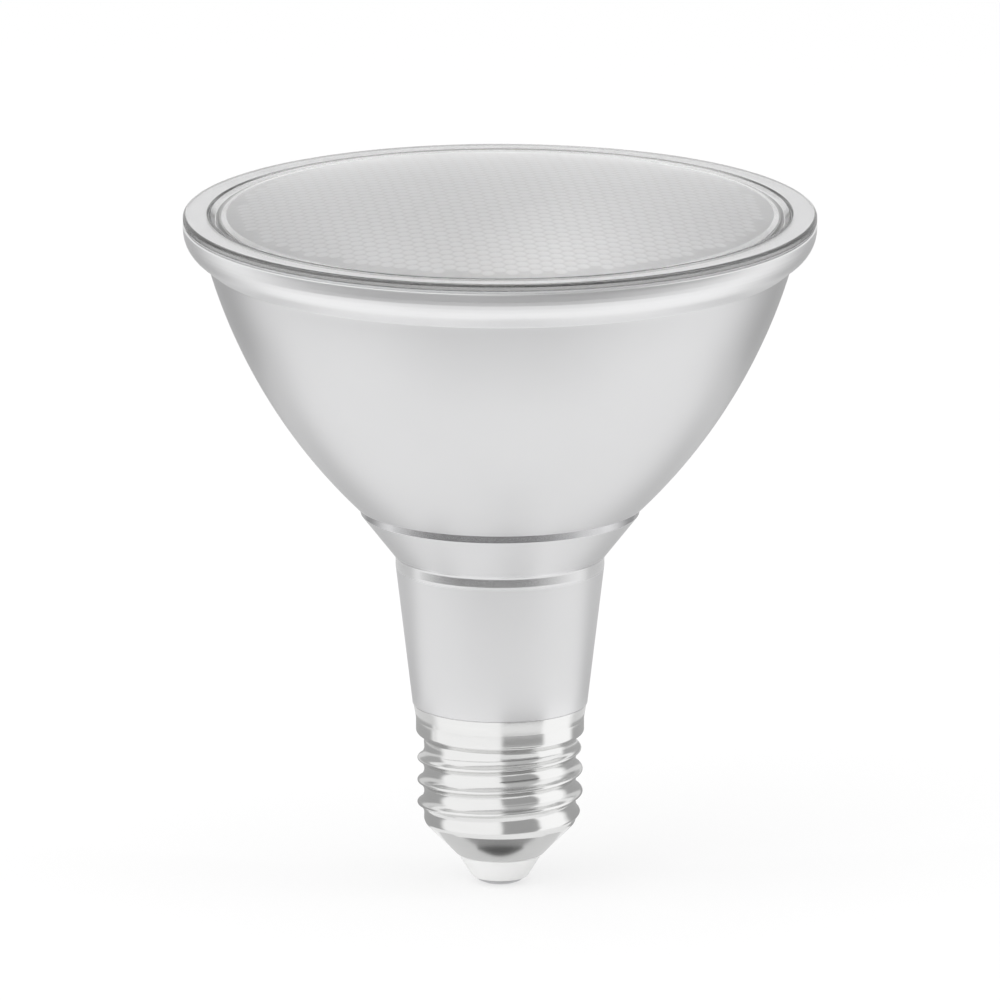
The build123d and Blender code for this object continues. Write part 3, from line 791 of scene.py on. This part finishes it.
def screw_shell():
    """Sheet shell of the cap: cone, rolled thread, band and flared lip."""
    tree, sizes = thread_rule()
    core = thread_crest_radius - sizes["Depth"]
    inner_core = core - cap_sheet
    inner_band = band_radius - cap_sheet
    lip_edge = lip_radius - lip_clearance
    lean = math.atan2(core - cap_hole_radius, cap_cone_height)
    cone_inner = (
        cap_hole_radius - cap_sheet * math.cos(lean),
        cone_bottom + cap_sheet * math.sin(lean),
    )
    heights = []
    for step in range(cone_bend_rings, thread_rings + 1 - shoulder_bend_rings):
        heights.append(thread_bottom + thread_length * step / thread_rings)
    corners = [
        (cap_hole_radius, cone_bottom, crisp_rounding),
        (core, thread_bottom, cone_rounding),
        *[(core, height, smooth) for height in heights],
        (core, thread_top, soft_rounding),
        (band_radius, band_bottom, shoulder_rounding),
        (band_radius, band_top, soft_rounding),
        (lip_edge, lip_top, fine_rounding),
        (lip_edge - cap_sheet, lip_top, fine_rounding),
        (inner_band, band_top, soft_rounding),
        (inner_band, band_bottom + cap_sheet, soft_rounding),
        (inner_core, thread_top + cap_sheet, soft_rounding),
        *[(inner_core, height, smooth) for height in reversed(heights)],
        (inner_core, thread_bottom + cap_sheet / 2, cone_inner_rounding),
        (*cone_inner, crisp_rounding),
    ]
    piece = turned("screw_shell", bent(corners, closed=True))
    follow(piece, tree, sizes, thread_sharp_angle)
    return piece


def moulded_insulator():
    """White insulator: cone below the cap, plug through its hole and dish inside it."""
    bore = rivet_radius + rivet_clearance
    cone_width = thread_crest_radius - insulator_dish_inset - cap_hole_radius
    slope = cap_cone_height / cone_width
    plug_radius = cap_hole_radius - insulator_plug_clearance
    dish_top = insulator_top - insulator_rim_height
    plug_top = dish_top - (insulator_dish_radius - plug_radius) * slope
    corners = [
        (bore, contact_top, fine_rounding),
        (insulator_tip_radius, contact_top, full_rounding),
        (insulator_edge_radius, cone_bottom, insulator_edge_rounding),
        (plug_radius, cone_bottom, hair_rounding),
        (plug_radius, plug_top, hair_rounding),
        (insulator_dish_radius, dish_top, insulator_dish_rounding),
        (insulator_dish_radius, insulator_top, small_rounding),
        (bore, insulator_top, fine_rounding),
    ]
    piece = turned("moulded_insulator", bent(corners, closed=True))
    piece.data.materials.append(insulator_white)
    return piece


def riveted_contact():
    """Contact disc with a soft edge, a low crown and its rivet."""
    rivet_seat = rivet_top - rivet_head_height
    corners = [
        (0, 0),
        (contact_flat_radius, 0, contact_flat_rounding),
        (contact_radius, contact_edge_height, plain_rounding),
        (contact_radius, contact_top, fine_rounding),
        (rivet_radius, contact_top),
        (rivet_radius, rivet_seat),
        (rivet_head_radius, rivet_seat, fine_rounding),
        (rivet_head_radius, rivet_top, rivet_head_rounding),
        (0, rivet_top),
    ]
    piece = turned("riveted_contact", bent(corners), closed=False)
    piece.data.materials.append(contact_metal)
    return piece


made = {
    "reflector": (pressed_reflector(), "silvered_glass"),
    "front_lens": (honeycomb_lens(), "clear_glass"),
    "cap_shell": (screw_shell(), "nickel"),
    "cap_insulator": (moulded_insulator(), "insulator_white"),
    "centre_contact": (riveted_contact(), "contact_metal"),
}
for node, (piece, slot) in made.items():
    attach(piece, "root")
    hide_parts(node)

for node, node_look in finishes.items():
    solid = bpy.data.objects[node]
    solid.data.materials.clear()
    solid.data.materials.append(finish(node + "_finish", **node_look))
packages = bpy.data.objects["led_packages"]
packages.data.materials.clear()
packages.data.materials.append(emitter_finish())


# Stage: pale floor, soft light and glowing grey cards, seen in reflections alone, that paint light
# and shade into the reflections
white = (1, 1, 1, 1)
floor_reach = 3000
floor_height = -0.05
floor_glow_share = 0.65


def sheet(name, points, faces):
    """Thin sheet of the stage from its faces and its points in millimetres."""
    mesh = bpy.data.meshes.new(name)
    mesh.from_pydata([tuple(value * mm for value in point) for point in points], [], faces)
    made_sheet = bpy.data.objects.new(name, mesh)
    bpy.context.scene.collection.objects.link(made_sheet)
    return made_sheet


def flat_sheet(name, corners):
    """Flat sheet from its corners."""
    return sheet(name, corners, [tuple(range(len(corners)))])


def seen_white(tree):
    """One for what the camera sees straight, in gloss or through glass."""
    path = tree.nodes.new("ShaderNodeLightPath")
    seen = calc(tree, "MAXIMUM", path.outputs["Is Camera Ray"], path.outputs["Is Glossy Ray"])
    return calc(tree, "MAXIMUM", seen, path.outputs["Is Transmission Ray"])


def floor_finish():
    """White to the eye, with a faint shadow left on it."""
    material, tree, surface = shader("pale_floor")
    surface.inputs["Base Color"].default_value = (0.92, 0.92, 0.92, 1)
    surface.inputs["Roughness"].default_value = 0.9
    glow = put(tree, "ShaderNodeEmission", {"Color": white, "Strength": 1.0})
    share = calc(tree, "MULTIPLY", seen_white(tree), floor_glow_share)
    both = put(tree, "ShaderNodeMixShader", {0: share, 1: surface.outputs[0], 2: glow})
    tree.links.new(both, tree.nodes["Material Output"].inputs["Surface"])
    return material


def card_finish(name, level, half=math.pi, soft=0.0):
    """Glowing card of one brightness, which fades to white over a share of its half at both ends;
    it is no lamp and paints light or shade into reflections.
    """
    material, tree, _ = shader(name)
    strength = level
    if soft:
        x, y, _ = parts(tree, own_place(tree))
        angle = calc(tree, "ARCTAN2", x, calc(tree, "MULTIPLY", y, -1.0))
        bearing = calc(tree, "ABSOLUTE", angle)
        strength = ramp(tree, bearing, half * (1 - soft), half + 0.001, level, 1.0, "SMOOTHSTEP")
    glow = put(tree, "ShaderNodeEmission", {"Color": white, "Strength": strength})
    tree.links.new(glow, tree.nodes["Material Output"].inputs["Surface"])
    material.cycles.emission_sampling = "NONE"
    return material


def gloss_only(card, material):
    """Show a card in reflections alone."""
    card.data.materials.append(material)
    for ray in ("camera", "diffuse", "shadow"):
        setattr(card, "visible_" + ray, False)


def bent_card(name, middle, spread, low, high, level, soft=0.0):
    """Card bent round the lamp.

    It has a bearing of its middle from the camera, a spread to each side, a radius and a height
    for its low and high edge, a brightness and a share that is soft.
    """
    steps = max(4, round(spread / 3))
    half = math.radians(spread)
    points, faces = [], []
    for step in range(steps + 1):
        bearing = half * (2 * step / steps - 1)
        for radius, height in (low, high):
            points.append((radius * math.sin(bearing), -radius * math.cos(bearing), height))
        if step:
            corner = 2 * step
            faces.append((corner - 2, corner - 1, corner + 1, corner))
    card = sheet(name, points, faces)
    card.rotation_euler.z = math.radians(middle)
    gloss_only(card, card_finish(name, level, half, soft))


def crescent_card(name, spread, near, far, height, level):
    """Crescent in front of the lamp, between two radii, which narrows to its ends; a dark sheet
    that paints the lamp's shadow on the floor into the reflection of the cap's cone.
    """
    steps = 24
    inner, outer = [], []
    for step in range(steps + 1):
        share = 2 * step / steps - 1
        bearing = math.radians(spread * share)
        radius = near + (far - near) * share**2
        inner.append((radius * math.sin(bearing), -radius * math.cos(bearing), height))
        outer.append((far * math.sin(bearing), -far * math.cos(bearing), height))
    gloss_only(flat_sheet(name, inner + outer[-2:0:-1]), card_finish(name, level))


def lamp(name, place, aim, width, height, power):
    """Soft rectangular light."""
    light = bpy.data.lights.new(name, "AREA")
    light.shape = "RECTANGLE"
    light.size, light.size_y, light.energy = width, height, power
    holder = bpy.data.objects.new(name, light)
    holder.location = place
    holder.rotation_euler = (Vector(aim) - Vector(place)).to_track_quat("-Z", "Y").to_euler()
    holder.visible_glossy = False
    bpy.context.scene.collection.objects.link(holder)


floor_corners = [
    (-floor_reach, -floor_reach, floor_height),
    (floor_reach, -floor_reach, floor_height),
    (floor_reach, floor_reach, floor_height),
    (-floor_reach, floor_reach, floor_height),
]
floor = flat_sheet("floor", floor_corners)
floor.data.materials.append(floor_finish())

# Walls and ceiling, which the lens and the bowl mirror
far_wall, low_edge, high_edge = 1500, 110, 2600
grey_wall = far_wall - 50
bent_card("backdrop", 180, 70, (1600, 0), (1600, 1500), 1.0)
bent_card("ceiling", 0, 180, (5, 2600), (900, 2600), 0.12)
bent_card("dark_horizon", 0, 110, (350, 25), (350, 106), 0.12, 0.4)
bent_card("upper_wall", 0, 110, (far_wall, low_edge), (far_wall, high_edge), 1.08)
bent_card("upper_grey_wall", 34, 34, (grey_wall, low_edge), (grey_wall, high_edge), 0.55, 0.3)

# Floor and low walls, which the step, the waist and the sides mirror
bent_card("floor_ring", -12, 106, (200, 0.5), (320, 0.5), 0.06, 0.72)
bent_card("front_patch", 0, 45, (100, 0.5), (185, 0.5), 0.9, 0.6)
bent_card("back_wall", 180, 86, (140, 0), (140, 95), 0.36, 0.4)
bent_card("back_core", 180, 42, (135, 0), (135, 95), 0.52)
bent_card("back_foot", 180, 68, (130, 0), (130, 28), 0.7)
bent_card("back_floor", 180, 72, (30, 0.5), (140, 0.5), 0.58, 0.3)

# Screens close to the cap, for its cone, band, lip and thread
# Painted shadow: grey cards on the floor under the cap stand in for the lamp's own shade in the
# cone's reflection
bent_card("cone_back", 180, 112, (9, 0.15), (16, 0.15), 0.7)
bent_card("cone_front", 0, 125, (4, 0.2), (11.5, 0.2), 0.7)
bent_card("band_screen_front", 24, 24, (25, 21.9), (25, 24.2), 0.36, 0.2)
bent_card("band_screen_back", 183, 115, (16, 22.3), (16, 25.7), 0.45, 0.06)
bent_card("lip_screen_back", 187, 100, (25, 19.5), (25, 24.4), 0.74, 0.1)
bent_card("thread_screen_front", 24, 24, (25, 0), (25, 19.4), 0.4, 0.2)
bent_card("thread_screen_back", 187, 100, (25, 0), (25, 19.4), 0.42, 0.1)
# Painted highlights: cards that glow brighter than white, for the bright zones of the thread
bent_card("cap_glow_right", 67, 20, (26, 0), (26, 25), 1.16)
bent_card("cap_glow_left", -37, 37, (26, 0), (26, 25), 1.08)
# Painted shadow: darker crescents under the front of the cone
crescent_card("cone_shade", 62, 7.0, 11.2, 0.25, 0.33)
crescent_card("cone_spot", 46, 6.9, 8.6, 0.3, 0.08)

lamp("left_softbox", (-1.0, -0.6, 0.7), (0, 0, 0.06), 1.8, 1.5, 9)
lamp("right_strip", (1.0, -0.15, 0.6), (0, 0, 0.05), 0.5, 1.3, 2.5)
lamp("front_softbox", (0.2, -1.9, 0.7), (0, 0, 0.05), 3.0, 1.0, 7)
lamp("top_softbox", (0, 0, 1.6), (0, 0, 0.06), 3.0, 3.0, 25)

world = bpy.data.worlds.new("studio")
bpy.context.scene.world = world
world.use_nodes = True
sky = world.node_tree.nodes["Background"]
sky.inputs["Color"].default_value = white
sky.inputs["Strength"].default_value = 0.5

# Camera far off on a long lens, as the photograph hardly converges
view_elevation = math.radians(13.4)
view_width = 159.5 * mm
view_height = 62.55 * mm
lens_length, sensor = 1200.0, 36.0
distance = view_width * lens_length / sensor
camera = bpy.data.cameras.new("camera")
camera.lens, camera.sensor_width = lens_length, sensor
eye = bpy.data.objects.new("camera", camera)
toward_eye = Vector((0, -math.cos(view_elevation), math.sin(view_elevation)))
eye.location = Vector((0, 0, view_height)) + distance * toward_eye
eye.rotation_euler = (math.radians(90) - view_elevation, 0, 0)
bpy.context.scene.collection.objects.link(eye)
bpy.context.scene.camera = eye
bpy.context.scene.view_settings.view_transform = "Standard"
